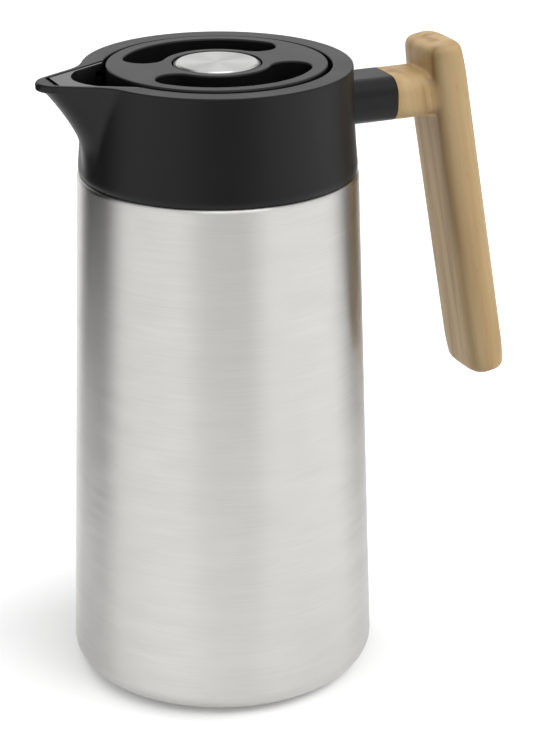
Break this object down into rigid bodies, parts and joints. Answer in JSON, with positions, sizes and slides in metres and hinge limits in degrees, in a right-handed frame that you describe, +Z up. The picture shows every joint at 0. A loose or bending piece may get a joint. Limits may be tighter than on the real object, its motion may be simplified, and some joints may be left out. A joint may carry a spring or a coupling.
{
  "type": "vacuum carafe",
  "caption": "Tapered steel vacuum carafe with a black pouring collar, V-shaped spout, screw-in push-button stopper and a leaning wooden T handle.",
  "frame": {"origin": "centre of the underside, on the surface that the carafe stands on", "axes": "+Z up along the body's axis, +X towards the handle, -X towards the spout"},
  "size_m": [0.1861, 0.116, 0.238],
  "materials": {
    "satin_steel": "satin, fine scratches running round the body",
    "inner_steel": "plain rolled",
    "getter_alloy": "dull",
    "foot_rubber": "matt",
    "black_polymer": "fine moulded satin texture",
    "silicone": "smooth, slightly milky",
    "screw_steel": "plain turned",
    "beech": "oiled, grain along the grip",
    "insert_brass": "turned",
    "disc_steel": "fine satin with a polished edge"
  },
  "bodies": {
    "carafe": {"outer_shell": "satin_steel", "inner_liner": "inner_steel", "base_plate": "inner_steel", "getter": "getter_alloy", "foot_pad": "foot_rubber", "neck_ring": "inner_steel", "collar": "black_polymer", "pour_insert": "black_polymer", "mouth_gasket": "silicone", "collar_gasket": "silicone", "collar_screws": "screw_steel", "handle_grip": "beech", "thread_insert": "insert_brass", "handle_bolt": "screw_steel", "handle_washer": "screw_steel"},
    "stopper_seal": {"stopper_gasket": "silicone"},
    "stopper": {"stopper_cap": "black_polymer", "stopper_body": "black_polymer", "stopper_screws": "screw_steel", "seat_ring": "black_polymer", "seat_gasket": "silicone", "rod_seal": "silicone", "button_spring": "screw_steel"},
    "button": {"push_button": "black_polymer", "button_disc": "disc_steel", "valve_rod": "screw_steel", "valve_plate": "black_polymer", "valve_seal": "silicone", "valve_nut": "screw_steel"}
  },
  "joints": [
    {"name": "stopper_rise", "type": "slide", "parent": "carafe", "child": "stopper_seal", "axis": [0, 0, 1], "range_m": [0, 0.0038]},
    {"name": "stopper_turn", "type": "hinge", "parent": "stopper_seal", "child": "stopper", "pos_m": [0, 0, 0.211], "axis": [0, 0, 1], "range_deg": [0, 90]},
    {"name": "button_press", "type": "slide", "parent": "stopper", "child": "button", "axis": [0, 0, -1], "range_m": [0, 0.005], "stiffness_N_per_m": 500, "springref_m": -0.004, "deforming": ["button_spring"]}
  ],
  "couplings": [
    {"joint": "stopper_rise", "follows": "stopper_turn", "m_per_rad": 0.0023873}
  ]
}
